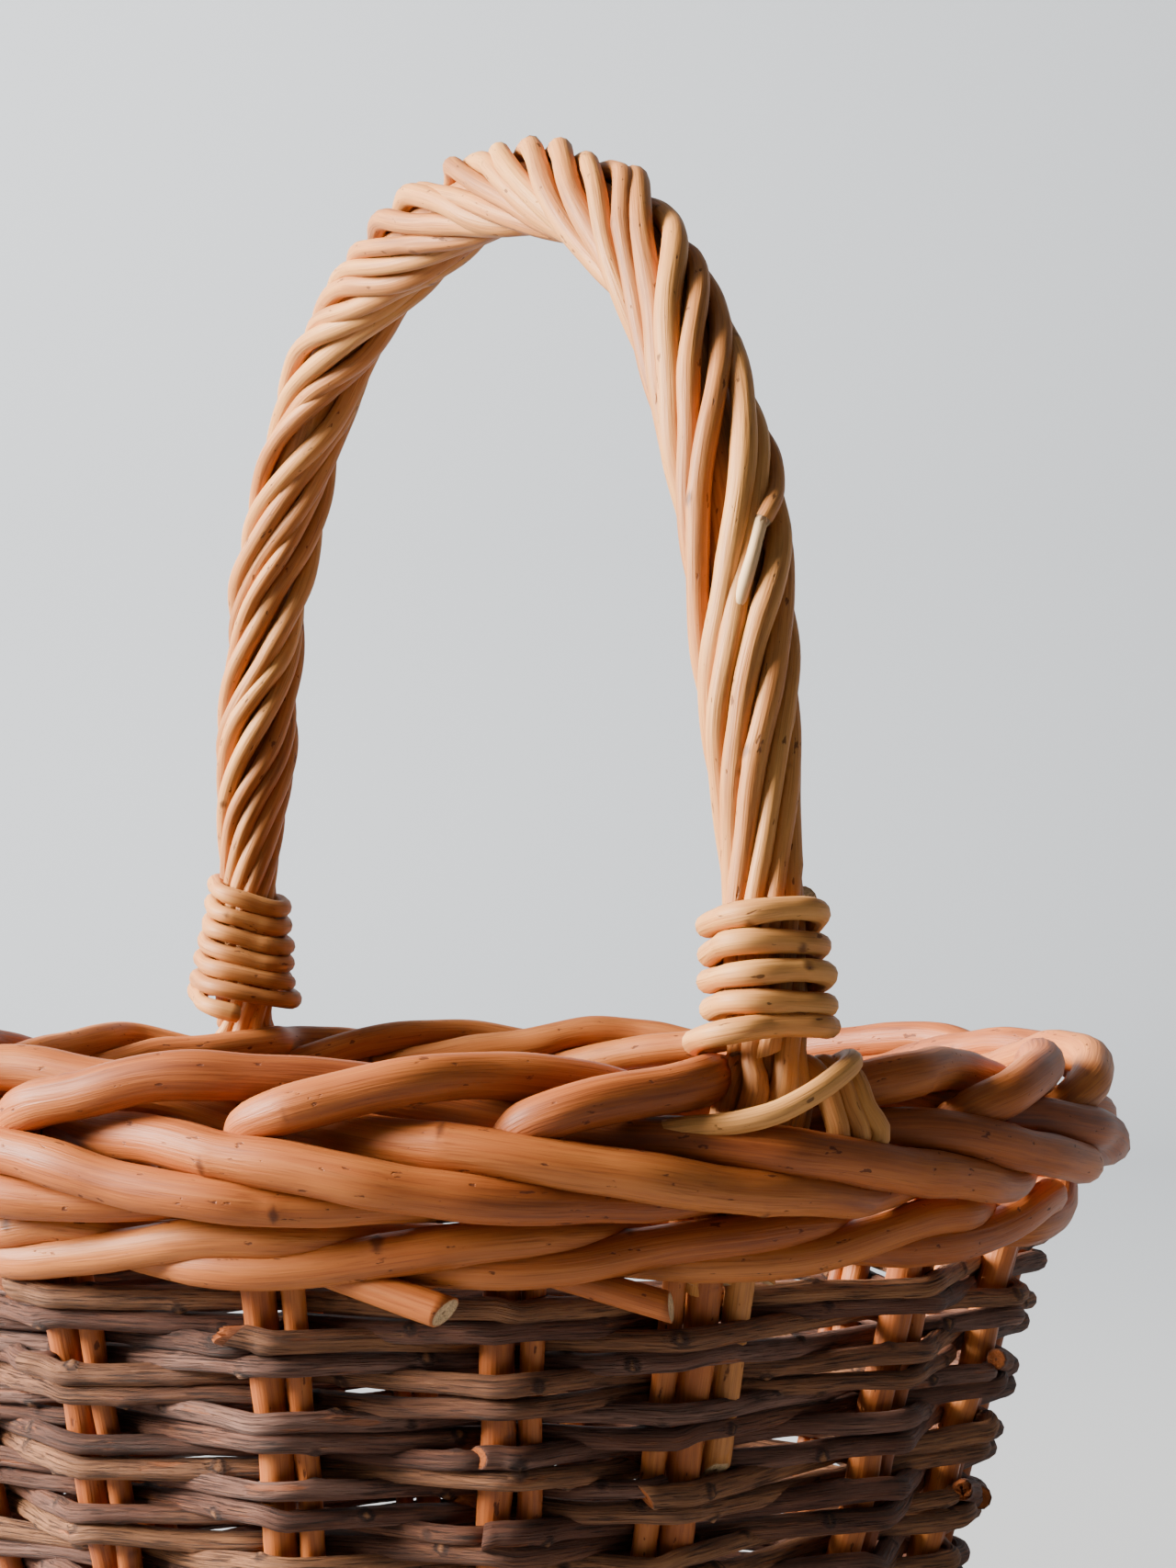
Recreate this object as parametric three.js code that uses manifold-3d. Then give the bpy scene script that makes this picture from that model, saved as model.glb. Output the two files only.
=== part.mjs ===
// Round willow market basket: a flared body woven on stakes, a rolled border and a rope-twisted hoop handle.
// Millimetres, +Z up, origin at the middle of the underside. The handle's two feet stand on the X axis.
import * as THREE from "three";
import { mergeVertices } from "three/addons/utils/BufferGeometryUtils.js";
import Module from "manifold-3d";

// ---- Driving dimensions ----
const STAKES = 18; // pairs of uprights round the wall
const BASE_STAKE_RADIUS = 106; // from the axis to a stake's centre, at the table
const WALL_FLARE = THREE.MathUtils.degToRad(15); // how far the wall leans outwards
const RIM_HEIGHT = 215; // centre of the border's topmost rods
const STAKE_RADIUS = 3.9; // a stake in the wall
const SIDE_STAKE_RADIUS = 2.9; // the thinner rod pushed in beside it
const BORDER_RADIUS = 4.6; // the rod of the border that it carries on as
const BORDER_TIP_RADIUS = 3.4; // at that rod's end
const FIT_GAP = 0.4; // between rods that press on each other

const BORDER_DROP = 33.3; // from the border's topmost rods down to the top wale
const ROWS = 18; // rows of brown weave, each two rods deep
const ROW_THICKNESS = 4.6;

const FOOT_WALE_HEIGHT = 16;
const TOP_WALE_HEIGHT = 15;
const WALE_HALF_WIDTH = 9.6;
const COURSE_GAP = 0.5; // between one course of weave and the next

const HANDLE_RISE = 231; // from the border's topmost rods to the middle of the bow at its crown
const BOW_RADIUS = 6.9; // the thick rod inside the handle
const BOW_FOOT_RADIUS = 5; // the same rod inside the bindings
const SPIKE_RADIUS = 3.3; // the bow's thinned ends, pushed down beside a stake
const SPIKE_DEPTH = 90; // how far they reach below the border
const ROPE_RODS = 9; // rods twisted round the bow
const ROPE_ROD_RADIUS = 2.3;
const ROPE_TURNS = 4;
const BINDING_RADIUS = 2.6;
const BINDING_TURNS = 5;
const BINDING_PITCH = 6.6;
const BINDING_START = 5; // from the rope's lower ends up to the lowest turn
const STAKE_LEAD = 1; // degrees from a handle foot back to the stake position behind it

const STICK_RADIUS = 4.5; // the split sticks of the base cross
const THROUGH_RADIUS = 2.3; // the thinner sticks pushed through them
const STICKS_EACH_WAY = 4;
const BASE_HEIGHT = 12; // centre of the base sticks
const BASE_WEAVE_THICKNESS = 13.6;
const BASE_WEAVE_INNER_RADIUS = 30;
const BASE_WEAVE_STEP_RADIUS = 58; // where the tying rounds meet the outer rounds
const BASE_EDGE_GAP = 2;

// ---- Sizes worked out from them ----
const spacing = (2 * Math.PI) / STAKES;
const flare = Math.tan(WALL_FLARE);
const stakeLine = (z) => BASE_STAKE_RADIUS + z * flare;
const rimRadius = stakeLine(RIM_HEIGHT);
const atFoot = (i) => i % (STAKES / 2) === 0;
const stakePlace = (i) => i * spacing - THREE.MathUtils.degToRad(STAKE_LEAD);
const besideSpike = (STAKE_RADIUS + SPIKE_RADIUS + 2.5 * FIT_GAP) / stakeLine(RIM_HEIGHT - SPIKE_DEPTH);
const stakePush = (i) => (atFoot(i) ? besideSpike - THREE.MathUtils.degToRad(STAKE_LEAD) : 0);
const stakeAngle = (i) => stakePlace(i) - stakePush(i);
const rowSwing = STAKE_RADIUS + ROW_THICKNESS / 2 + 2 * FIT_GAP;
const topWaleTop = RIM_HEIGHT - BORDER_DROP;
const topWaleBottom = topWaleTop - TOP_WALE_HEIGHT;
const rowPitch = (topWaleBottom - FOOT_WALE_HEIGHT - COURSE_GAP) / ROWS;
const rowHeight = rowPitch - COURSE_GAP;
const firstRow = FOOT_WALE_HEIGHT + COURSE_GAP + rowHeight / 2;
const footWaleInner = stakeLine(FOOT_WALE_HEIGHT / 2) - WALE_HALF_WIDTH;
const stickReach = footWaleInner - BASE_EDGE_GAP;

const buffWillow = new THREE.MeshStandardMaterial({ color: 0xc98a52, roughness: 0.5, metalness: 0 });
const handleWillow = new THREE.MeshStandardMaterial({ color: 0xd9a56c, roughness: 0.5, metalness: 0 });
const brownWillow = new THREE.MeshStandardMaterial({ color: 0x7b6152, roughness: 0.7, metalness: 0 });

const basket = new THREE.Group();
const wasm = await Module();
wasm.setup();

function addPiece(name, geometry, material) {
  const piece = new THREE.Mesh(geometry, material);
  piece.name = name;
  basket.add(piece);
  return piece;
}

const twoDigits = (n) => String(n).padStart(2, "0");
const atAngle = (angle, radius, z) =>
  new THREE.Vector3(radius * Math.cos(angle), radius * Math.sin(angle), z);

// ---- Rods ----
// A curve that an extrusion steps along point by point, so that bends get short steps and straight runs long ones.
class SteppedCurve extends THREE.CatmullRomCurve3 {
  getPointAt(u, target) {
    return this.getPoint(u, target);
  }
  getTangentAt(u, target) {
    return this.getTangent(u, target);
  }
}

// A closed rod through the points. radii holds its radius at each point.
function rod(points, radii, sides) {
  const widest = Math.max(...radii);
  const corners = Array.from({ length: sides }, (_, k) => {
    const turn = (2 * Math.PI * k) / sides;
    return new THREE.Vector2(widest * Math.cos(turn), widest * Math.sin(turn));
  });
  const geometry = new THREE.ExtrudeGeometry(new THREE.Shape(corners), {
    steps: points.length - 1,
    bevelEnabled: false,
    extrudePath: new SteppedCurve(points),
  });
  const place = geometry.attributes.position;
  const vertex = new THREE.Vector3();
  for (let i = 0; i < place.count; i++) {
    vertex.fromBufferAttribute(place, i);
    const distances = points.map((p) => p.distanceTo(vertex));
    const ring = distances.indexOf(Math.min(...distances));
    vertex.sub(points[ring]).multiplyScalar(radii[ring] / widest).add(points[ring]);
    place.setXYZ(i, vertex.x, vertex.y, vertex.z);
  }
  return geometry;
}

// ---- Solids that are joined or cut ----
function toSolid(geometry) {
  const plain = new THREE.BufferGeometry();
  const source = geometry.index ? geometry.toNonIndexed() : geometry;
  plain.setAttribute("position", source.attributes.position.clone());
  const merged = mergeVertices(plain, 1e-3);
  return new wasm.Manifold(
    new wasm.Mesh({
      numProp: 3,
      vertProperties: merged.attributes.position.array,
      triVerts: new Uint32Array(merged.index.array),
    }),
  );
}

function toGeometry(solid) {
  const mesh = solid.getMesh();
  return new THREE.BufferGeometry()
    .setAttribute("position", new THREE.BufferAttribute(new Float32Array(mesh.vertProperties), 3))
    .setIndex(new THREE.BufferAttribute(mesh.triVerts, 1));
}

const cutAll = (geometry, cutters) =>
  toGeometry(cutters.reduce((left, cutter) => left.subtract(toSolid(cutter)), toSolid(geometry)));

// ---- Border ----
// A stake leaves the wall, squeezes out between its neighbours, bends over to the right, runs along the top and
// the inside, then crosses to the outside and down. Each point is [stake spacings to the right, outwards, up],
// counted from the border's centre.
const BORDER_RUN = [
  [0, -5.5, -24],
  [0, 0, -15.5],
  [0.14, 5.6, -9.8],
  [0.36, 6.4, -5],
  [0.68, 3.4, -0.8],
  [1.0, -2.6, 0],
  [1.36, -7.4, -2.6],
  [1.7, -8.6, -6],
  [2.02, -8.2, -9.8],
  [2.34, -4, -14],
  [2.66, 2.6, -17],
  [3.0, 8.6, -20.4],
  [3.35, 9.2, -24.4],
  [3.7, 8.8, -27.6],
  [4.05, 7.8, -30.4],
  [4.4, 6, -32.8],
];

// Each handle foot wedges the border's rods apart. [up to this place along a rod's run, outwards, down]
const FOOT_SPREADS = [
  [0.1, 0, 0],
  [0.6, 3.4, 2],
  [0.8, 0, 2],
  [1.5, -11.8, 2],
  [2.2, -2.4, 3.4],
  [2.5, -1.6, 0.6],
  [5, 3.4, 0],
];
const FOOT_SPREAD_REACH = 0.8 * spacing;
function nearFoot(angle) {
  const fromFoot = Math.abs(Math.asin(Math.sin(angle)));
  return fromFoot > FOOT_SPREAD_REACH ? 0 : Math.cos((Math.PI / 2) * (fromFoot / FOOT_SPREAD_REACH)) ** 2;
}

function borderPoint(stake, [run, out, up]) {
  const straightening = Math.max(0, 1 - run / 0.7);
  const angle = stakePlace(stake) - stakePush(stake) * straightening + run * spacing;
  const wedge = nearFoot(angle);
  const [, outwards, down] = FOOT_SPREADS.find(([upTo]) => run < upTo);
  return atAngle(angle, rimRadius + out + outwards * wedge, RIM_HEIGHT + up - down * wedge);
}

// ---- Stakes ----
const STAKE_FOOT = 1.5; // a stake's lower end, above the table
const SIDE_STAKE_TOP = 3; // a side stake's upper end, above the top wale
const sideStakeOffset = 0.83 * (STAKE_RADIUS + SIDE_STAKE_RADIUS); // close enough to make one solid of the pair
const sideOfStake = (i) => (atFoot(i) ? -1 : 1);

const upright = (angle, heights, radius, sides) => {
  const points = heights.map((z) => atAngle(angle(z), stakeLine(z), z));
  return rod(points, points.map(() => radius), sides);
};

function sideStake(i, heights, gap) {
  const angle = (z) => stakeAngle(i) + (sideOfStake(i) * sideStakeOffset) / stakeLine(z);
  return upright(angle, heights, SIDE_STAKE_RADIUS + gap, 6);
}

function addStakes() {
  for (let i = 0; i < STAKES; i++) {
    const wall = [STAKE_FOOT, topWaleBottom, topWaleTop].map((z) => atAngle(stakeAngle(i), stakeLine(z), z));
    const border = BORDER_RUN.map((p) => borderPoint(i, p));
    const taper = (n) => THREE.MathUtils.mapLinear(n, 1, border.length - 1, BORDER_RADIUS, BORDER_TIP_RADIUS);
    const radii = [...wall.map(() => STAKE_RADIUS), ...border.map((_, n) => (n ? taper(n) : STAKE_RADIUS))];
    const stake = toSolid(rod([...wall, ...border], radii, 6));
    const beside = toSolid(sideStake(i, [STAKE_FOOT, topWaleTop + SIDE_STAKE_TOP], 0));
    addPiece(`stake_${twoDigits(i + 1)}`, toGeometry(stake.add(beside)), buffWillow);
  }
}

// A stake's stretch of wall, a gap wider all round, for the holes it passes through.
const HOLE_HEIGHTS = [-STAKE_RADIUS, topWaleTop + STAKE_RADIUS];
const stakeHole = (i) => upright(() => stakeAngle(i), HOLE_HEIGHTS, STAKE_RADIUS + 1.5 * FIT_GAP, 6);
const sideStakeHole = (i) => sideStake(i, HOLE_HEIGHTS, FIT_GAP);

// ---- Weave rows ----
// A row passes outside one stake and inside the next, flat across each, and the next row does the opposite.
function rowOutline(row, offset) {
  const z = firstRow + row * rowPitch;
  const clear = 1.7 * STAKE_RADIUS;
  const clearOfPair = clear + 2 * SIDE_STAKE_RADIUS;
  const clearOfSpike = stakeLine(z) * Math.abs(stakeAngle(0)) + 1.8 * SPIKE_RADIUS;
  const outline = [];
  for (let i = 0; i < STAKES; i++) {
    const side = (i + row) % 2 === 0 ? 1 : -1;
    const radius = stakeLine(z) + side * rowSwing + offset;
    const [before, after] = atFoot(i) ? [clearOfPair, clearOfSpike] : [clear, clearOfPair];
    for (const along of [-before, after]) {
      const angle = stakeAngle(i) + along / stakeLine(z);
      outline.push(new THREE.Vector2(radius * Math.cos(angle), radius * Math.sin(angle)));
    }
  }
  return outline;
}

// Leans a ring's vertices outwards with the wall, about its middle height.
function leanWithWall(geometry, middle) {
  const place = geometry.attributes.position;
  for (let i = 0; i < place.count; i++) {
    const [x, y, z] = [place.getX(i), place.getY(i), place.getZ(i)];
    const radius = Math.hypot(x, y);
    const grown = (radius + (z - middle) * flare) / radius;
    place.setXYZ(i, x * grown, y * grown, z);
  }
  return geometry;
}

function addWeaveRows() {
  for (let row = 0; row < ROWS; row++) {
    const z = firstRow + row * rowPitch;
    const ring = new THREE.Shape(rowOutline(row, ROW_THICKNESS / 2));
    ring.holes.push(new THREE.Path(rowOutline(row, -ROW_THICKNESS / 2)));
    const geometry = new THREE.ExtrudeGeometry(ring, { depth: rowHeight, bevelEnabled: false });
    geometry.translate(0, 0, z - rowHeight / 2);
    addPiece(`weave_row_${twoDigits(row + 1)}`, leanWithWall(geometry, z), brownWillow);
  }
}

// ---- Wales ----
// A ring of heavier rods round the stakes, which stand in holes through it.
function waleRing(bottom, top) {
  const profile = [
    [-WALE_HALF_WIDTH, bottom],
    [WALE_HALF_WIDTH, bottom],
    [WALE_HALF_WIDTH, top],
    [-WALE_HALF_WIDTH, top],
    [-WALE_HALF_WIDTH, bottom],
  ].map(([out, z]) => new THREE.Vector2(stakeLine((bottom + top) / 2) + out, z));
  return leanWithWall(lathed(profile, 2 * STAKES), (bottom + top) / 2);
}

// A closed profile of [radius, height] points turned about the Z axis.
function lathed(profile, segments) {
  return new THREE.LatheGeometry(profile, segments).rotateX(Math.PI / 2);
}

// ---- Handle ----
const BOW_HALF = [
  // [in from the border's centre, up], from the foot to the crown
  [0.5, 0],
  [1.2, 20],
  [3.5, 46],
  [6.5, 75],
  [11, 101],
  [18, 130],
  [30, 157],
  [48, 184],
  [70, 204.5],
  [96, 218.5],
  [129, 228],
];
const BOW_HALF_SPAN = 163.6; // that the points above are counted for
const BOW_HALF_RISE = 231;

function bowPoints() {
  const half = BOW_HALF.map(([inwards, up]) => [
    (1 - inwards / BOW_HALF_SPAN) * rimRadius,
    RIM_HEIGHT + (up * HANDLE_RISE) / BOW_HALF_RISE,
  ]);
  const right = half.map(([x, z]) => new THREE.Vector3(x, 0, z));
  const left = half.map(([x, z]) => new THREE.Vector3(-x, 0, z)).reverse();
  return [...right, new THREE.Vector3(0, 0, RIM_HEIGHT + HANDLE_RISE), ...left];
}

const bowCurve = new THREE.CatmullRomCurve3(bowPoints());
const bowLength = bowCurve.getLength();

// The bow is thin inside the bindings and swells above them.
const bindingTop = BINDING_START + (BINDING_TURNS + 1) * BINDING_PITCH;
function bowRadiusAt(share) {
  const fromFoot = Math.min(share, 1 - share) * bowLength;
  const swell = THREE.MathUtils.smoothstep(fromFoot, bindingTop, bindingTop + 50);
  return BOW_FOOT_RADIUS + (BOW_RADIUS - BOW_FOOT_RADIUS) * swell;
}
const ropeRadiusAt = (share) => bowRadiusAt(share) + ROPE_ROD_RADIUS + 2 * FIT_GAP;

// A point beside the bow, a share of the way along it, at a radius and an angle round it.
function besideBow(share, radius, angle) {
  const along = bowCurve.getTangentAt(share);
  const across = new THREE.Vector3(0, 1, 0);
  const outwards = new THREE.Vector3().crossVectors(along, across);
  return bowCurve
    .getPointAt(share)
    .addScaledVector(outwards, radius * Math.cos(angle))
    .addScaledVector(across, radius * Math.sin(angle));
}

// The bow's thinned end, from its tip beside a stake up through the border.
function spikePoints(side) {
  const tip = RIM_HEIGHT - SPIKE_DEPTH;
  return [
    [stakeLine(tip), tip],
    [stakeLine(topWaleBottom), topWaleBottom],
    [stakeLine(topWaleTop), topWaleTop],
    [rimRadius - 4, RIM_HEIGHT - 22],
    [rimRadius - 0.5, RIM_HEIGHT - 8],
  ].map(([x, z]) => new THREE.Vector3(side * x, 0, z));
}

function spikeHole(side) {
  const points = spikePoints(side);
  return rod(points, points.map(() => SPIKE_RADIUS + FIT_GAP), 8);
}

const BOW_STEPS = 36;
const ROPE_STEPS = 40;
const ROPE_END = 0.003; // the rope rods stop just short of the bow's thick ends

// Turns made by a rope rod a share of the way along: it winds more tightly towards the left foot.
const ropeTwist = (share) => -ROPE_TURNS * (0.75 * share + 0.25 * share ** 2);

function addHandle() {
  const shares = Array.from({ length: BOW_STEPS + 1 }, (_, step) => step / BOW_STEPS);
  const thick = shares.map((share) => bowCurve.getPointAt(share));
  const points = [...spikePoints(1), ...thick, ...spikePoints(-1).reverse()];
  const spikes = spikePoints(1).map(() => SPIKE_RADIUS);
  const radii = [...spikes, ...shares.map(bowRadiusAt), ...spikes];
  addPiece("handle_bow", rod(points, radii, 8), handleWillow);
  for (let k = 0; k < ROPE_RODS; k++) {
    const strand = Array.from({ length: ROPE_STEPS + 1 }, (_, step) => {
      const share = ROPE_END + (1 - 2 * ROPE_END) * (step / ROPE_STEPS);
      const turn = 2 * Math.PI * (k / ROPE_RODS + ropeTwist(share));
      return besideBow(share, ropeRadiusAt(share), turn);
    });
    addPiece(`rope_rod_${k + 1}`, rod(strand, strand.map(() => ROPE_ROD_RADIUS), 5), handleWillow);
  }
}

const BINDING_STEPS_PER_TURN = 9;
function addBinding(name, fromShare) {
  const radius = ropeRadiusAt(0) + ROPE_ROD_RADIUS + BINDING_RADIUS + 1.5 * FIT_GAP;
  const steps = BINDING_TURNS * BINDING_STEPS_PER_TURN;
  const coil = Array.from({ length: steps + 1 }, (_, step) => {
    const turns = step / BINDING_STEPS_PER_TURN;
    const share = (BINDING_START + turns * BINDING_PITCH) / bowLength;
    return besideBow(Math.abs(fromShare - share), radius, 2 * Math.PI * turns);
  });
  addPiece(name, rod(coil, coil.map(() => BINDING_RADIUS), 5), handleWillow);
}

// ---- Base ----
// Four sticks run each way through the centre and fan out into sixteen spokes. The split ones hold the others.
function baseStick(index, apart, radius, gap) {
  const place = index - (STICKS_EACH_WAY - 1) / 2;
  const offset = place * apart;
  const fan = (place * Math.PI) / (2 * STICKS_EACH_WAY);
  const crossing = 21;
  const end = new THREE.Vector2(stickReach * Math.cos(fan), stickReach * Math.sin(fan));
  const half = [
    [crossing, offset],
    [crossing + 14, offset + (end.y - offset) * 0.12],
    [end.x, end.y],
  ];
  const points = [
    ...half.map(([x, y]) => new THREE.Vector3(-x, y, BASE_HEIGHT)).reverse(),
    ...half.map(([x, y]) => new THREE.Vector3(x, y, BASE_HEIGHT)),
  ];
  return rod(points, points.map(() => radius + gap), 6);
}

function splitStick(index, gap) {
  return baseStick(index, 2 * STICK_RADIUS + FIT_GAP, STICK_RADIUS, gap);
}

function throughStick(index, gap) {
  return baseStick(index, 2 * THROUGH_RADIUS + FIT_GAP, THROUGH_RADIUS, gap).rotateZ(Math.PI / 2);
}

function addBase() {
  const slotWidth = STICKS_EACH_WAY * (2 * THROUGH_RADIUS + FIT_GAP) + FIT_GAP;
  const slotHeight = 2 * (THROUGH_RADIUS + FIT_GAP);
  const slot = new THREE.BoxGeometry(slotWidth, 60, slotHeight).translate(0, 0, BASE_HEIGHT);
  const allSticks = [];
  for (let i = 0; i < STICKS_EACH_WAY; i++) {
    addPiece(`base_split_stick_${i + 1}`, cutAll(splitStick(i, 0), [slot]), buffWillow);
    addPiece(`base_through_stick_${i + 1}`, throughStick(i, 0), buffWillow);
    allSticks.push(splitStick(i, FIT_GAP), throughStick(i, FIT_GAP));
  }
  const rings = [
    ["base_tying_weave", BASE_WEAVE_INNER_RADIUS, BASE_WEAVE_STEP_RADIUS],
    ["base_outer_weave", BASE_WEAVE_STEP_RADIUS + FIT_GAP, stickReach],
  ];
  for (const [name, inner, outer] of rings) {
    const low = BASE_HEIGHT - BASE_WEAVE_THICKNESS / 2;
    const high = BASE_HEIGHT + BASE_WEAVE_THICKNESS / 2;
    const profile = [
      [inner, low],
      [outer, low],
      [outer, high],
      [inner, high],
      [inner, low],
    ].map(([r, z]) => new THREE.Vector2(r, z));
    addPiece(name, cutAll(lathed(profile, 32), allSticks), brownWillow);
  }
}

// ---- The whole basket ----
addStakes();
addWeaveRows();
const stakeHoles = Array.from({ length: STAKES }, (_, i) => [stakeHole(i), sideStakeHole(i)]).flat();
const spikeHoles = [spikeHole(1), spikeHole(-1)];
addPiece("foot_wale", cutAll(waleRing(0, FOOT_WALE_HEIGHT), stakeHoles), brownWillow);
addPiece("top_wale", cutAll(waleRing(topWaleBottom, topWaleTop), [...stakeHoles, ...spikeHoles]), buffWillow);
addHandle();
addBinding("foot_binding_right", 0);
addBinding("foot_binding_left", 1);
addBase();

export default basket;
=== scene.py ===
import math

import bpy
import numpy as np
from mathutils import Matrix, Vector


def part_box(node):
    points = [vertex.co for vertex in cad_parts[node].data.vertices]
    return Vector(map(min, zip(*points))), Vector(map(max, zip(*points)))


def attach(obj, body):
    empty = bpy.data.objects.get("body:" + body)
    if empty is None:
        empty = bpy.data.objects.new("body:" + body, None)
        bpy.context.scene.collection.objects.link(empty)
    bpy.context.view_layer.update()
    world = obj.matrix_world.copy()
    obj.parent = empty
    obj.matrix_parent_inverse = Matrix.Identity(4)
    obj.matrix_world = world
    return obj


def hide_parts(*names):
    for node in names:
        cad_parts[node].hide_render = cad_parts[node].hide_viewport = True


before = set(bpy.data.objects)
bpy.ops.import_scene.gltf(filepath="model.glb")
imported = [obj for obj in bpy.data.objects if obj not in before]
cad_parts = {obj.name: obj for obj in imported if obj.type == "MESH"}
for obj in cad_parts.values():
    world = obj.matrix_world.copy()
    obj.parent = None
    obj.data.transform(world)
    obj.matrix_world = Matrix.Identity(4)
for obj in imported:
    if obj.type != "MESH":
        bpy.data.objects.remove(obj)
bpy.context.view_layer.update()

bl_info = {
    "name": "Willow Market Basket",
    "version": (1, 0, 0),
    "blender": (4, 5, 0),
    "location": "3D View > Sidebar > Basket",
    "description": "Weaves a willow market basket round its packed frame",
    "category": "Add Mesh",
}

MM = 0.001

# ---- Sizes, in millimetres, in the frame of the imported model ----
STAKES = 18
SPACING = 2 * math.pi / STAKES
STAKE_LEAD = math.radians(1.0)  # how far the stakes stand behind the handle's feet
STAKE_PUSH = math.radians(2.4)  # how far a handle foot pushes its stake farther back
FLARE = math.tan(math.radians(15))  # the wall's lean outwards
BASE_STAKE_RADIUS = 106.0
RIM_HEIGHT = 215.0
ROWS = sum(name.startswith("weave_row_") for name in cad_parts)
WALE_LOW, WALE_HIGH = (corner.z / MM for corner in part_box("top_wale"))
FOOT_WALE_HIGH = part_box("foot_wale")[1].z / MM
ROW_MIDDLES = [
    (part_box(f"weave_row_{row + 1:02d}")[0].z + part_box(f"weave_row_{row + 1:02d}")[1].z) / 2 / MM
    for row in range(ROWS)
]
BASE_MIDDLE = 12.0  # height of the middle of the base's sticks
ROPE_RODS = 10
CAD_ROPE_RODS = sum(name.startswith("rope_rod_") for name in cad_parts)


def wall(z):
    """Distance from the axis to the middle of a stake at that height."""
    return BASE_STAKE_RADIUS + z * FLARE


RIM_RADIUS = wall(RIM_HEIGHT)


def linear(code):
    """The scene's own colour for a hexadecimal one."""
    parts = [int(code[i : i + 2], 16) / 255 for i in (0, 2, 4)]
    return tuple(p / 12.92 if p <= 0.04045 else ((p + 0.055) / 1.055) ** 2.4 for p in parts)


def size_property(name, description, default):
    """A length that the sidebar shows in the scene's units."""
    return bpy.props.FloatProperty(
        name=name,
        description=description,
        default=default * MM,
        min=0.0002,
        max=0.05,
        precision=4,
        subtype="DISTANCE",
        unit="LENGTH",
    )


def colour_property(name, description, code):
    """A colour that the sidebar shows as a swatch."""
    return bpy.props.FloatVectorProperty(
        name=name,
        description=description,
        default=linear(code),
        size=3,
        min=0,
        max=1,
        subtype="COLOR",
    )


class BasketSizes(bpy.types.PropertyGroup):
    """Thicknesses of the willow rods."""

    stake: size_property("Stake", "Radius of a stake in the wall", 3.9)
    side_stake: size_property("Side stake", "Radius of the thinner rod beside a stake", 3.0)
    border: size_property("Border rod", "Radius of a border rod at its bend", 5.2)
    border_tip: size_property("Border tip", "Radius of a border rod at its end", 3.6)
    wale: size_property("Wale rod", "Radius of a top wale rod at its middle", 4.65)
    weaver_butt: size_property("Weaver butt", "Radius of a brown weaver at its thick end", 2.85)
    weaver_tip: size_property("Weaver tip", "Radius of a brown weaver at its thin end", 2.3)
    rope_rod: size_property("Handle rod", "Radius of a rod twisted round the handle", 2.9)
    binding: size_property("Binding rod", "Radius of the rod wound round a handle foot", 2.75)
    wobble: size_property("Wobble", "How far a brown weaver strays from its even line", 0.25)


class BasketColours(bpy.types.PropertyGroup):
    """Colours of the willow, from shade to light."""

    buff_dark: colour_property("Buffed, dark", "Shade of the boiled and peeled rods", "662C14")
    buff: colour_property("Buffed", "Main colour of the boiled and peeled rods", "A45826")
    buff_light: colour_property("Buffed, light", "Light stretches of those rods", "C07638")
    peeled_dark: colour_property("Handle, dark", "Shade of the handle's rods", "744020")
    peeled: colour_property("Handle", "Main colour of the handle's rods", "BA783E")
    peeled_light: colour_property("Handle, light", "Light stretches of the handle's rods", "D29854")
    bark_dark: colour_property("Bark, dark", "Darkest bark", "3E241A")
    bark: colour_property("Bark", "Main colour of the bark", "6A402E")
    bark_grey: colour_property("Bark, grey", "Weathered grey bark", "846052")
    bark_tan: colour_property("Bark, tan", "Light brown bark", "A06C46")
    cut: colour_property("Cut wood", "Wood at a cut end", "DDB88A")
    ground: colour_property("Ground", "Floor and backdrop", "A8AAAC")


# ---- Rods ----
SKIN, WOOD = 0, 1  # the two finishes of a piece
FINE_STEPS = 4  # steps along a smooth line before it is evened out, to each one after
CREST = 1.4  # waves added together seldom crest together, and this makes up for it
LUMP_WAVES = (23, 47)
END_CALM = 12  # the stretch at either end of a rod over which its wobble dies out
BUD_CLEAR = 4  # no bud stands closer than this to a rod's far end
BUD_SPIRAL = 2.4  # from one bud round the rod to the next, in radians
BUD_LENGTH, BUD_WIDTH = 0.85, 0.65  # of a bud's swelling, in ring spacings and in radians

# The rings that close a rod's end: (share of its width, radii out past its rim, finish), and the tip's place.
END_RINGS = {
    "cut": ((0.9, 0.05, SKIN), (0.5, 0.06, WOOD), (0.16, 0.0, WOOD)),
    "torn": ((0.88, 0.25, WOOD), (0.6, 0.9, WOOD), (0.3, 0.5, WOOD)),
    "round": ((0.93, 0.22, SKIN), (0.75, 0.45, SKIN), (0.4, 0.62, SKIN)),
}
END_TIPS = {"cut": -0.12, "torn": 0.4, "round": 0.66}
SPLINTERS = (-0.55, 0.75)  # how far torn fibres fall short or stick out, in radii


def chance(*key):
    """A source of chance that gives the same run each time for the same key."""
    return np.random.default_rng([7, *key])


def ease(value, low, high):
    """0 below low, 1 above high, and a smooth rise between."""
    share = min(1.0, max(0.0, (value - low) / (high - low)))
    return share * share * (3 - 2 * share)


def around(angle, radius, z):
    """A point at that angle about the basket's axis."""
    return (radius * math.cos(angle), radius * math.sin(angle), z)


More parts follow.
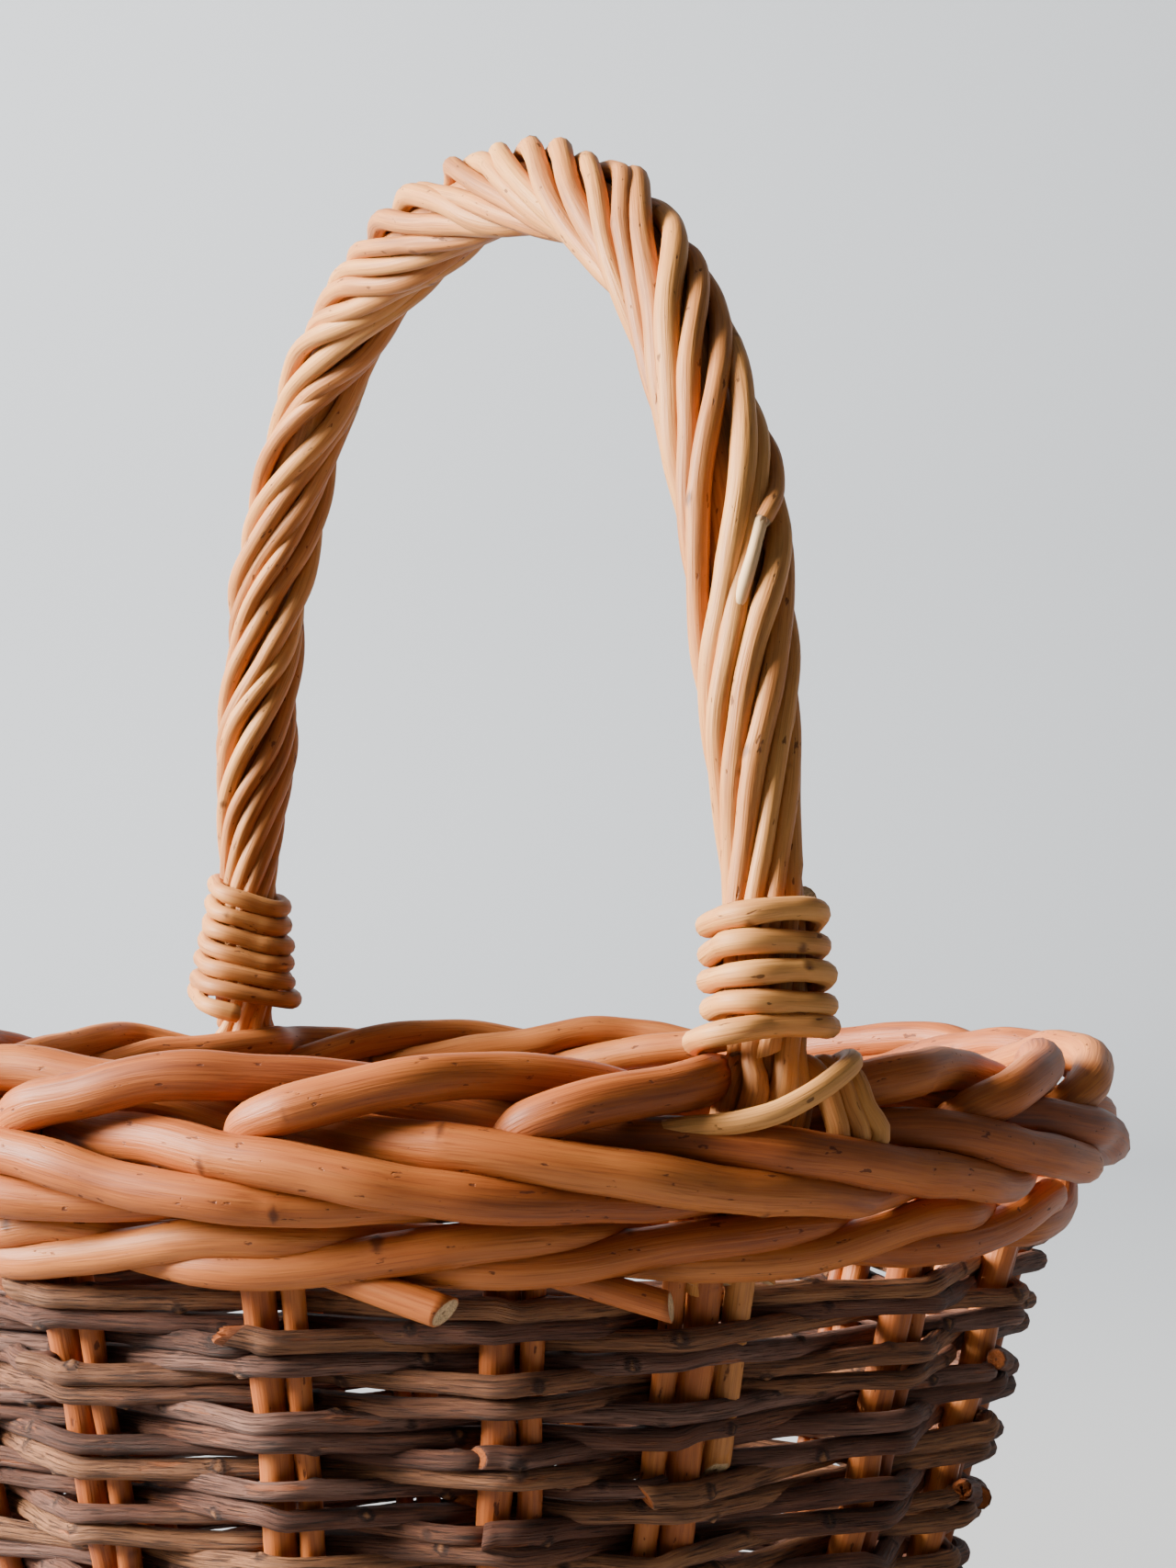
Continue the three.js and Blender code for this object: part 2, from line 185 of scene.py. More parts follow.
def smooth_line(points, spacing):
    """Points at an even spacing on a smooth line through the given ones.

    Returns them, their distances from the line's start, and the distances of the given points.
    """
    p = np.array(points, float)
    chord = np.linalg.norm(np.diff(p, axis=0), axis=1)
    given = np.concatenate([[0], np.cumsum(chord)])
    slope = np.diff(p, axis=0) / chord[:, None]
    pull = np.empty_like(p)
    pull[0], pull[-1] = slope[0], slope[-1]
    before, after = chord[:-1, None], chord[1:, None]
    pull[1:-1] = (slope[:-1] * after + slope[1:] * before) / (before + after)
    fine = np.linspace(0, given[-1], max(3, int(FINE_STEPS * given[-1] / spacing)))
    part = np.clip(np.searchsorted(given, fine, side="right") - 1, 0, len(chord) - 1)
    h = chord[part][:, None]
    s = (fine - given[part])[:, None] / h
    line = (
        (2 * s**3 - 3 * s**2 + 1) * p[part]
        + (s**3 - 2 * s**2 + s) * h * pull[part]
        + (3 * s**2 - 2 * s**3) * p[part + 1]
        + (s**3 - s**2) * h * pull[part + 1]
    )
    run = np.concatenate([[0], np.cumsum(np.linalg.norm(np.diff(line, axis=0), axis=1))])
    even = np.linspace(0, run[-1], max(3, round(run[-1] / spacing) + 1))
    evened = np.stack([np.interp(even, run, line[:, k]) for k in range(3)], axis=1)
    return evened, even, np.interp(given, fine, run)


def stray(run, rng, reach, waves=(38, 61, 113)):
    """A slow wander along a rod, by up to about the reach, in waves of about those lengths."""
    wander = sum(
        np.sin(2 * math.pi * run / wave * rng.uniform(0.85, 1.2) + rng.uniform(0, 7)) for wave in waves
    )
    return reach * wander / len(waves) * CREST


def carried_frames(line):
    """The direction of a line at each point, and two across it, carried along it without a twist."""
    along = np.gradient(line, axis=0)
    along /= np.linalg.norm(along, axis=1)[:, None]
    across = np.empty_like(line)
    guess = np.array([0.0, 0.0, 1.0]) if abs(along[0, 2]) < 0.8 else np.array([1.0, 0.0, 0.0])
    for i, direction in enumerate(along):
        guess = guess - guess.dot(direction) * direction
        guess /= np.linalg.norm(guess)
        across[i] = guess
    return along, across, np.cross(along, across)


def bud_swell(run, turn, every, spacing, rng):
    """How far buds raise a rod's skin at each ring and side, from 0 to about 1. They spiral up the rod."""
    swell = np.zeros((len(run), len(turn)))
    at = rng.uniform(0.3, 1) * every
    facing = rng.uniform(0, 2 * math.pi)
    while every and at < run[-1] - BUD_CLEAR:
        ring = np.argmin(abs(run - at))
        off = (turn - facing + math.pi) % (2 * math.pi) - math.pi
        lengthwise = np.exp(-(((run - run[ring]) / (BUD_LENGTH * spacing)) ** 2))[:, None]
        swell += lengthwise * np.exp(-((off / BUD_WIDTH) ** 2))[None, :] * rng.uniform(0.5, 1.1)
        facing += BUD_SPIRAL + rng.uniform(-0.6, 0.6)
        at += every * rng.uniform(0.6, 1.5)
    return swell


class Rods:
    """Rods gathered into one piece. Each is a closed skin round its own line, with its buds and its ends."""

    def __init__(self):
        self.places, self.faces, self.finishes = [], [], []
        self.grain, self.tone, self.heart, self.bud = [], [], [], []
        self.count = 0

    def rod(
        self, points, radii, key, sides=12, spacing=2.0, wobble=0.0, bud_every=0.0, bud_height=0.4,
        ends=("cut", "cut"), slant=(0, 0), tone=None, lumps=0.02,
    ):
        """One rod through the points, its chance drawn from its key.

        radii holds its radius at each point, or at its two ends. wobble is how far it strays from its line,
        lumps how uneven its radius is, bud_every how far its buds stand apart, slant how many degrees its two
        ends lean, and tone, from 0 to 1, how light it is.
        """
        rng = chance(*key)
        line, run, given = smooth_line(points, spacing)
        if wobble:
            fade = np.minimum(1, np.minimum(run, run[-1] - run) / END_CALM)
            line = line + np.stack([stray(run, rng, wobble) * fade for _ in range(3)], axis=1)
        radii = np.array(radii, float)
        held = given if len(radii) == len(given) else [0, run[-1]]
        radius = np.interp(run, held, radii) * (1 + stray(run, rng, lumps, LUMP_WAVES))
        along, across, aside = carried_frames(line)
        turn = np.linspace(0, 2 * math.pi, sides, endpoint=False) + rng.uniform(0, 1)
        buds = bud_swell(run, turn, bud_every, spacing, rng)
        reach = radius[:, None] + bud_height * buds
        cos, sin = np.cos(turn) * reach, np.sin(turn) * reach
        rings = line[:, None] + cos[..., None] * across[:, None] + sin[..., None] * aside[:, None]
        for ring, angle, way in ((0, slant[0], -1), (-1, slant[1], 1)):
            lean = np.cos(turn - rng.uniform(0, 6.3)) * math.tan(math.radians(angle)) * radius[ring]
            rings[ring] += (way * lean)[:, None] * along[ring]
        shift = rng.uniform(-900, 900, 3)
        grain = np.stack([cos, sin, np.broadcast_to(run[:, None], cos.shape)], axis=-1) + shift
        tone = rng.uniform() if tone is None else tone
        places = rings.reshape(-1, 3)
        first = self._add(places, grain.reshape(-1, 3), tone, np.ones(len(places)), buds.reshape(-1))
        last_ring = len(run) - 1
        for ring in range(last_ring):
            self._band(first + ring * sides, first + (ring + 1) * sides, sides, 1, SKIN)
        for kind, ring, way in ((ends[0], 0, -1), (ends[1], last_ring, 1)):
            self._end(
                kind, first + ring * sides, rings[ring], along[ring] * way, radius[ring], way,
                grain[ring], shift + [0, 0, run[ring]], tone, rng,
            )

    def _add(self, places, grain, tone, heart, bud):
        """Adds corners with what the finishes read from them, and returns the first one's number."""
        first = self.count
        self.places.append(places)
        self.grain.append(grain)
        self.tone.append(np.full(len(places), tone))
        self.heart.append(heart)
        self.bud.append(bud)
        self.count += len(places)
        return first

    def _band(self, low, high, sides, way, finish):
        """Adds the faces between two rings, each given by its first corner."""
        for k in range(sides):
            following = (k + 1) % sides
            self.faces.append((low + k, low + following, high + following, high + k)[::way])
        self.finishes += [finish] * sides

    def _end(self, kind, before, rim, outwards, radius, way, rim_grain, middle_grain, tone, rng):
        """Closes one end of a rod: cut across, torn, or rounded."""
        sides = len(rim)
        centre = rim.mean(axis=0)
        for share, forward, finish in END_RINGS[kind]:
            push = np.full(sides, forward * radius)
            if kind == "torn":
                push += rng.uniform(*SPLINTERS, sides) * radius
            ring = centre + (rim - centre) * share + push[:, None] * outwards
            grain = middle_grain + (rim_grain - middle_grain) * share
            first = self._add(ring, grain, tone, np.full(sides, share), np.zeros(sides))
            self._band(before, first, sides, way, finish)
            before = first
        tip = centre + outwards * radius * END_TIPS[kind]
        last = self._add(tip[None], np.array([middle_grain]), tone, np.zeros(1), np.zeros(1))
        for k in range(sides):
            self.faces.append((before + k, before + (k + 1) % sides, last)[::way])
        self.finishes += [finish] * sides

    def piece(self, name, finish, replaced, ends="cut_willow"):
        """The rods as one object that rides on the frame and stands for those nodes.

        Their skin takes the finish, shaded smooth, and their bare wood the one named by ends, shaded flat.
        """
        mesh = bpy.data.meshes.new(name)
        places = np.concatenate(self.places) * MM
        mesh.from_pydata(places.tolist(), [], self.faces)
        for label, kind, field, values in (
            ("grain", "FLOAT_VECTOR", "vector", np.concatenate(self.grain) * MM),
            ("tone", "FLOAT", "value", np.concatenate(self.tone)),
            ("heart", "FLOAT", "value", np.concatenate(self.heart)),
            ("bud", "FLOAT", "value", np.concatenate(self.bud)),
        ):
            layer = mesh.attributes.new(label, kind, "POINT")
            layer.data.foreach_set(field, values.astype("f").ravel())
        mesh.materials.append(bpy.data.materials[finish])
        mesh.materials.append(bpy.data.materials[ends])
        mesh.polygons.foreach_set("material_index", self.finishes)
        mesh.polygons.foreach_set("use_smooth", [which == SKIN for which in self.finishes])
        mesh.update()
        if mesh.validate():
            raise RuntimeError(f"{name} has faces that don't hold together")
        made = bpy.data.objects.new(name, mesh)
        bpy.context.scene.collection.objects.link(made)
        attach(made, "root")
        if replaced:
            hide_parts(*replaced)


# ---- Materials ----
SHEEN = 0.3  # how much light a willow rod's surface sends back like a mirror


class Socket:
    """A value on its way through a material. Sums and products of values add Math nodes."""

    def __init__(self, paint, socket):
        self.paint, self.socket = paint, socket

    def _maths(self, operation, first, second):
        return self.paint.node("ShaderNodeMath", {"operation": operation}, {0: first, 1: second})

    def __add__(self, other):
        return self._maths("ADD", self, other)

    __radd__ = __add__

    def __sub__(self, other):
        return self._maths("SUBTRACT", self, other)

    def __rsub__(self, other):
        return self._maths("SUBTRACT", other, self)

    def __mul__(self, other):
        return self._maths("MULTIPLY", self, other)

    __rmul__ = __mul__


class Paint:
    """A material under construction."""

    def __init__(self, name):
        self.material = bpy.data.materials.new(name)
        self.material.use_nodes = True
        self.tree = self.material.node_tree
        self.shader = self.tree.nodes["Principled BSDF"]

    def put(self, socket, value):
        """Links a value to a socket, or sets it there."""
        if isinstance(value, Socket):
            self.tree.links.new(value.socket, socket)
        elif hasattr(value, "__len__") and len(socket.default_value) == 4:
            socket.default_value = (*value, 1)
        else:
            socket.default_value = value

    def node(self, kind, settings=None, inputs=None, output=0):
        """Any node, by its type, its settings and its inputs."""
        made = self.tree.nodes.new(kind)
        for setting, value in (settings or {}).items():
            if setting == "stops":
                ramp = made.color_ramp
                while len(ramp.elements) < len(value):
                    ramp.elements.new(0.5)
                for element, (place, colour) in zip(ramp.elements, value):
                    element.position, element.color = place, (*colour, 1)
            else:
                setattr(made, setting, value)
        for socket, value in (inputs or {}).items():
            self.put(made.inputs[socket], value)
        return Socket(self, made.outputs[output])

    def attribute(self, name, output="Fac"):
        """What a piece's own attribute holds."""
        return self.node("ShaderNodeAttribute", {"attribute_name": name}, output=output)

    def noise(self, vector, stretch, detail=3.0, roughness=0.55):
        """Noise from 0 to 1 in the rod's own grain, that many times to the metre across it and along it."""
        across, along = stretch
        scale = (across, across, along)
        placed = self.node("ShaderNodeVectorMath", {"operation": "MULTIPLY"}, {0: vector, 1: scale})
        settings = {"Vector": placed, "Scale": 1.0, "Detail": detail, "Roughness": roughness}
        return self.node("ShaderNodeTexNoise", {}, settings)

    def step(self, value, low, high):
        """0 below low, 1 above high, and smooth between."""
        return self.node(
            "ShaderNodeMapRange",
            {"interpolation_type": "SMOOTHSTEP"},
            {"Value": value, "From Min": low, "From Max": high},
        )

    def ramp(self, value, *stops):
        """A colour for each value from 0 to 1."""
        return self.node("ShaderNodeValToRGB", {"stops": stops}, {"Fac": value})

    def blend(self, share, first, second):
        """Two colours mixed, that share of them the second."""
        settings = {"data_type": "RGBA", "clamp_result": True}
        return self.node("ShaderNodeMix", settings, {0: share, 6: first, 7: second}, output=2)

    def finish(self, colour, roughness, height, strength, distance, sheen):
        """Joins colour, roughness and relief to the shader."""
        bump = self.node("ShaderNodeBump", {}, {"Strength": strength, "Distance": distance, "Height": height})
        for socket, value in (
            ("Base Color", colour),
            ("Roughness", roughness),
            ("Normal", bump),
            ("Specular IOR Level", sheen),
        ):
            self.put(self.shader.inputs[socket], value)


def shade(colour, share):
    """That share of a colour's light."""
    return tuple(share * part for part in colour)


def peeled_rods(name, dark, main, light, dullness):
    """Peeled willow: fine streaks along the rod, slow changes of tone, small dark knots, a satin sheen."""
    paint = Paint(name)
    grain = paint.attribute("grain", "Vector")
    tone, bud = paint.attribute("tone"), paint.attribute("bud")
    streaks = paint.noise(grain, (900, 26), detail=4)
    hairs = paint.noise(grain, (2600, 60), detail=2)
    patches = paint.noise(grain, (70, 14), detail=2)
    flecks = paint.step(paint.noise(grain, (520, 210), detail=3), 0.66, 0.71)
    stains = paint.step(paint.noise(grain, (180, 20), detail=4), 0.54, 0.7)
    lightness = tone * 0.4 + paint.step(streaks, 0.28, 0.72) * 0.24 + paint.step(patches, 0.25, 0.75) * 0.36
    colour = paint.ramp(lightness, (0.0, dark), (0.46, main), (1.0, light))
    colour = paint.blend(stains * 0.38, colour, shade(dark, 0.8))
    colour = paint.blend(paint.step(hairs, 0.5, 0.7) * 0.32, colour, shade(dark, 0.7))
    colour = paint.blend(flecks * 0.75, colour, shade(dark, 0.4))
    colour = paint.blend(paint.step(bud, 0.35, 0.8) * 0.75, colour, shade(dark, 0.4))
    roughness = dullness + streaks * 0.2 + flecks * 0.15
    height = streaks * 0.7 + hairs * 0.35 - flecks * 0.4
    paint.finish(colour, roughness, height, strength=0.45, distance=0.0008, sheen=SHEEN)


def barked_rods(name, dark, main, grey, tan, wood):
    """Willow in its bark: every rod its own brown or grey, wrinkled along it and worn in places."""
    paint = Paint(name)
    grain = paint.attribute("grain", "Vector")
    tone, bud = paint.attribute("tone"), paint.attribute("bud")
    wrinkles = paint.noise(grain, (1500, 60), detail=5, roughness=0.65)
    cracks = paint.step(paint.noise(grain, (2300, 90), detail=3), 0.54, 0.68)
    patches = paint.noise(grain, (140, 30), detail=4)
    worn = paint.step(paint.noise(grain, (360, 50), detail=5), 0.62, 0.7)
    warm = tuple((a + b) / 2 for a, b in zip(main, tan))
    mixed = tone * 0.86 + patches * 0.6 - 0.22
    colour = paint.ramp(
        mixed, (0.0, dark), (0.2, main), (0.38, grey), (0.56, main), (0.76, warm), (0.98, tan)
    )
    colour = paint.blend(paint.step(wrinkles, 0.34, 0.62), paint.blend(0.6, colour, dark), colour)
    colour = paint.blend(paint.step(wrinkles, 0.56, 0.76) * 0.6, colour, tan)
    colour = paint.blend(worn * 0.5, colour, wood)
    colour = paint.blend(cracks * 0.7, colour, shade(dark, 0.4))
    colour = paint.blend(paint.step(bud, 0.12, 0.4) * 0.75, colour, shade(dark, 0.5))
    colour = paint.blend(paint.step(bud, 0.5, 0.85) * 0.8, colour, tan)
    roughness = 0.54 + wrinkles * 0.3 - worn * 0.1
    height = wrinkles * 0.8 - cracks * 0.6 - worn * 0.25
    paint.finish(colour, roughness, height, strength=1.0, distance=0.0015, sheen=SHEEN)


def cut_ends(name, wood, dark):
    """Wood at a cut or torn end: pale, with its pith, rays and torn fibres, and darker at the skin."""
    paint = Paint(name)
    grain = paint.attribute("grain", "Vector")
    heart = paint.attribute("heart")
    fibres = paint.noise(grain, (2400, 2400), detail=4)
    rays = paint.noise(grain, (900, 500), detail=3)
    pith = 1 - paint.step(heart, 0.06, 0.2)
    colour = paint.ramp(rays, (0.25, shade(wood, 0.55)), (0.7, wood))
    colour = paint.blend(paint.step(heart, 0.75, 1.0) * 0.6, colour, dark)
    colour = paint.blend(paint.step(fibres, 0.52, 0.75) * 0.5, colour, shade(dark, 0.6))
    colour = paint.blend(pith * 0.7, colour, shade(dark, 0.5))
    roughness = 0.75 + fibres * 0.15
    height = fibres + rays * 0.5
    paint.finish(colour, roughness, height, strength=0.8, distance=0.0008, sheen=SHEEN)


def ground_finish(name, colour):
    """A matt painted studio floor, very slightly uneven."""
    paint = Paint(name)
    place = paint.node("ShaderNodeTexCoord", output="Object")
    cloud = paint.noise(place, (0.8, 0.8), detail=2)
    tooth = paint.noise(place, (220, 220), detail=2)
    tint = paint.blend(cloud * 0.25, colour, shade(colour, 0.94))
    paint.finish(tint, 0.85 + cloud * 0.1, tooth, strength=0.05, distance=0.0005, sheen=0.2)


def mix_finishes(colours):
    """Every finish of the basket and its ground, from the colours of the sidebar."""
    own = {name: tuple(getattr(colours, name)) for name in colours.__annotations__}
    peeled_rods("buffed_willow", own["buff_dark"], own["buff"], own["buff_light"], dullness=0.42)
    peeled_rods("peeled_willow", own["peeled_dark"], own["peeled"], own["peeled_light"], dullness=0.44)
    barked_rods(
        "barked_willow", own["bark_dark"], own["bark"], own["bark_grey"], own["bark_tan"], own["buff"]
    )
    cut_ends("cut_willow", own["cut"], own["buff_dark"])
    cut_ends("torn_willow", own["buff"], own["bark_dark"])
    peeled_rods("torn_wood", own["peeled"], own["cut"], own["cut"], dullness=0.6)
    ground_finish("ground_paint", own["ground"])


# ---- Stakes and border ----
# Heights that hold a stake's line in the wall, from its foot to the border.
STAKE_HEIGHTS = (1.5, 60, 120, WALE_LOW, WALE_HIGH)
SIDE_GAP = 0.5  # between a stake and the thinner rod beside it

# A stake leaves the wall, squeezes out between its neighbours, bends over to the right, runs along the top
# and the inside, crosses to the outside and down, and ends inside again.
# (stake spacings to the right, outwards, up) from the border's centre.
BORDER_RUN = (
    (0, -5, -24),
    (0, -2.5, -16.5),
    (0.05, 4, -11),
    (0.18, 7.4, -7.6),
    (0.42, 6.6, -4),
    (0.7, 3.4, -1),
    (1.0, -2.6, -0.4),
    (1.36, -7.6, -2.8),
    (1.7, -9.2, -6),
    (2.02, -8.6, -9.4),
    (2.34, -4, -12.4),
    (2.66, 2.8, -14.4),
    (3.0, 8.4, -16.8),
    (3.35, 10, -20),
    (3.7, 9.6, -23.6),
    (4.05, 8, -26.2),
    (4.35, 4.2, -27.6),
    (4.6, -0.5, -27.8),
    (4.85, -5.5, -27),
    (5.05, -8, -26.4),
)
SWELL_POINTS = 3  # of those, over which a stake thickens into a border rod
TAPER_FROM, TAPER_LENGTH = 3.5, 1.6  # where a border rod starts to thin, and over how far, in spacings

# Each handle foot wedges the border's rods apart. (up to this place along a rod's run, outwards, down)
FOOT_SPREADS = (
    (0.1, 0, 0), (0.6, 3.4, 2), (0.8, 0, 2), (1.5, -11.8, 2), (2.2, -2.4, 3.4), (2.5, -1.6, 0.6), (9, 3.4, 0),
)


def at_foot(i):
    """Whether a foot of the handle goes down beside this stake."""
    return i % (STAKES // 2) == 0


def pair_side(i):
    """The side of a stake that its thinner rod stands on: 1 for the right, and -1 at a handle foot."""
    return -1 if at_foot(i) else 1


def stake_place(i):
    """The angle that a stake's border rod is measured from."""
    return i * SPACING - STAKE_LEAD


def stake_angle(i):
    """The angle that a stake stands at in the wall. A handle foot pushes its stake aside."""
    return stake_place(i) - (STAKE_PUSH if at_foot(i) else 0)


def near_foot(angle):
    """1 at a handle foot, falling to 0 most of a spacing away."""
    away = abs(math.asin(math.sin(angle))) / (0.8 * SPACING)
    return 0.0 if away > 1 else math.cos(math.pi / 2 * away) ** 2


def border_point(i, run, out, up):
    """A point of a border rod, wedged aside where it passes a handle foot."""
    pushed = STAKE_PUSH * max(0.0, 1 - run / 0.7) if at_foot(i) else 0
    angle = stake_place(i) - pushed + run * SPACING
    wedge = near_foot(angle)
    outwards, down = next((o, d) for reach, o, d in FOOT_SPREADS if run < reach)
    return around(angle, RIM_RADIUS + out + outwards * wedge, RIM_HEIGHT + up - down * wedge)


def inside_foot(i, run):
    """How far the stake behind a handle foot keeps to the inside while it passes the foot."""
    return 15 * (1 - ease(run, 0.3, 0.75)) * ease(run, -0.3, 0.1) if at_foot(i) else 0.0


def border_radius(n, run, stake, thick, tip):
    """A border rod's radius: it swells at its bend and thins towards its tip."""
    if run < TAPER_FROM:
        return stake + (thick - stake) * min(1, n / SWELL_POINTS)
    return tip + (thick - tip) * ease(TAPER_FROM + TAPER_LENGTH - run, 0, TAPER_LENGTH)


def weave_stakes(sizes):
    """Each stake pair, the stake's upper end carried on along the border."""
    stake, side_stake, tip = sizes.stake / MM, sizes.side_stake / MM, sizes.border_tip / MM
    for i in range(STAKES):
        rng = chance(1, i)
        thick = sizes.border / MM * rng.uniform(0.96, 1.04)
        rods = Rods()
        angle = stake_angle(i)
        points = [around(angle, wall(z), z) for z in STAKE_HEIGHTS]
        radii = [stake] * len(points)
        for n, (run, out, up) in enumerate(BORDER_RUN):
            points.append(border_point(i, run, out - inside_foot(i, run), up + rng.normal(0, 0.25)))
            radii.append(border_radius(n, run, stake, thick, tip))
        rods.rod(
            points, radii, (2, i), sides=14, wobble=0.45, bud_every=62, bud_height=0.5, ends=("cut", "round"),
            lumps=0.03,
        )
        beside = pair_side(i) * (stake + side_stake + SIDE_GAP)
        heights = (*STAKE_HEIGHTS[:3], WALE_HIGH, WALE_HIGH + rng.uniform(2, 8))
        points = [around(angle + beside / wall(z), wall(z), z) for z in heights]
        rods.rod(
            points, (side_stake, side_stake * 0.9), (3, i), sides=10, spacing=4.0, wobble=0.35, bud_every=70,
            slant=(0, 35),
        )
        name = f"stake_{i + 1:02d}"
        rods.piece(f"willow_{name}", "buffed_willow", [name])


# ---- Side weave ----
STRAND_LIFT = 2.55  # from the middle of a row to the middle of either weaver
WEAVER_OUT = (6.3, 7.3)  # from the middle of the wall to a weaver that passes a stake
PAIR_NEAR, PAIR_FAR = 4.0, 9.5  # from a stake's middle to its pair's two edges, along the wall
END_LAP = 8.0  # how far past its last stake a weaver may reach
LONG_STRETCH = 20  # a weaver sags a little where it has farther than this to go
TIP_TUCK = 3.0  # a weaver's thin end lies this far in behind its stake


def weaver_line(row, above, first, last, rng):
    """A weaver's line from one stake to another, in front of every second stake and behind the others."""
    z_middle = ROW_MIDDLES[row] + above
    points = []
    for i in range(first, last + 1):
        stake = i % STAKES
        front = 1 if (i + row) % 2 == 0 else -1
        angle = stake_angle(stake) + 2 * math.pi * (i // STAKES)
        z = z_middle + rng.normal(0, 0.55)
        out = front * rng.uniform(*WEAVER_OUT)
        left, right = (-PAIR_FAR, PAIR_NEAR) if pair_side(stake) < 0 else (-PAIR_NEAR, PAIR_FAR)
        rise = rng.normal(0, 0.35)
        for along, lift in ((left + rng.uniform(2.0, 3.6), -rise), (right - rng.uniform(3.5, 6.0), rise)):
            if (i == first and along < -END_LAP) or (i == last and along > END_LAP):
                continue
            points.append(around(angle + along / wall(z), wall(z) + out, z + lift))
    line = [points[0]]
    for a, b in zip(points, points[1:]):
        a, b = np.array(a), np.array(b)
        if np.linalg.norm(b - a) > LONG_STRETCH:
            sag = rng.normal(0, 0.3, 3)
            line += [tuple(a + (b - a) * 0.07), tuple((a + b) / 2 + sag), tuple(a + (b - a) * 0.93)]
        line.append(tuple(b))
    return line


def loosen_ends(points, rng):
    """Carries a weaver's thick end on to poke out of the wall, and tucks its thin end in."""
    a, b = np.array(points[0]), np.array(points[1])
    x, y, z = a + (a - b) / np.linalg.norm(a - b) * rng.uniform(2, 6)
    grow = 1 + rng.uniform(0.2, 1.4) / math.hypot(x, y)
    butt = (x * grow, y * grow, z + rng.uniform(-0.4, 0.4))
    x, y, z = points[-2]
    shrink = 1 - TIP_TUCK / math.hypot(x, y)
    return [butt, *points[:-2], (x * shrink, y * shrink, z)]


def weave_rows(sizes):
    """Each row of two brown weavers, each of them pieced from two rods that follow on."""
    butt, tip = sizes.weaver_butt / MM, sizes.weaver_tip / MM
    for row in range(ROWS):
        rods = Rods()
        fronts = [i for i in range(STAKES) if (i + row) % 2 == 0]
        for strand, above in enumerate((-STRAND_LIFT, STRAND_LIFT)):
            rng = chance(10, row, strand)
            start = fronts[rng.integers(len(fronts))] + 1 - strand
            half = start + 2 * rng.integers(4, 6)
            for part, (first, last) in enumerate(((start, half), (half, start + STAKES))):
                points = loosen_ends(weaver_line(row, above, first, last, rng), rng)
                radii = (butt * rng.uniform(0.9, 1.1), tip * rng.uniform(0.9, 1.12))
                butt_end = ("torn", "cut")[rng.integers(2)]
                rods.rod(
                    points, radii, (11, row, strand, part), sides=10, spacing=2.1, wobble=sizes.wobble / MM,
                    bud_every=20, bud_height=1.1, lumps=0.03, ends=(butt_end, "cut"),
                    slant=(rng.uniform(10, 40), 30),
                )
        name = f"weave_row_{row + 1:02d}"
        rods.piece(f"willow_{name}", "barked_willow", [name], "torn_willow")


# ---- Wales ----
# One stroke of a wale's rod, in front of two stakes and behind the next, its ends out of sight inside:
# (spacings on from the first stake, swings outwards, lifts up, share of its radius)
WALE_STROKE = (
    (-1.0, -1, -0.1, 0.8), (-0.72, -0.75, -0.5, 0.8), (-0.45, 0.05, -0.85, 0.8), (-0.2, 0.85, -1.0, 1),
    (0.02, 1.02, -1.0, 1), (0.25, 1, -0.75, 1), (0.6, 1, 0.1, 1), (0.95, 1, 0.85, 1), (1.1, 0.97, 1.0, 1),
    (1.32, 0.7, 1.0, 0.82), (1.6, -0.2, 0.75, 0.82), (1.85, -0.9, 0.3, 0.82), (2.15, -1, -0.1, 0.82),
)
TOP_WALE_SWING, TOP_WALE_RAISE = 7.8, 2.8
FOOT_WALE_SWING, FOOT_WALE_RAISE, FOOT_WALE_RADIUS = 7.4, 0.9, 3.7

# Where a used-up rod's butt pokes out below the top wale, in degrees, and its radius.
WALE_BUTTS = ((-25.5, 3.7), (-8.5, 3.3), (76, 3.4), (112, 3.6), (158, 3.4), (214, 3.7), (283, 3.3))
# A butt's way out from behind a stake to its end: (spacings on, outwards, up)
BUTT_COURSE = ((-0.85, -2, 4), (-0.55, 1.5, 0), (-0.27, 6.5, -4.6), (0.0, 11.0, -9.2))
BUTT_DROP = 2.6


def wale_rods(rods, key, middle, radius, lift, swing, tones):
    """Three rods that follow each other round, each rising as it goes."""
    for strand in range(3):
        rng = chance(*key, strand)
        for stroke in range(STAKES // 3):
            points = []
            for run, out, up, _ in WALE_STROKE:
                angle = stake_place(strand + 3 * stroke) + run * SPACING
                z = middle + up * lift
                reach = wall(z) + out * swing + rng.normal(0, 0.15)
                points.append(around(angle, reach, z + rng.normal(0, 0.2)))
            thick = radius * rng.uniform(0.95, 1.06)
            radii = [share * thick for *_, share in WALE_STROKE]
            rods.rod(
                points, radii, (*key, strand, stroke), spacing=2.6, wobble=0.3, bud_every=58, bud_height=0.5,
                slant=(20, 20), tone=rng.uniform(*tones),
            )


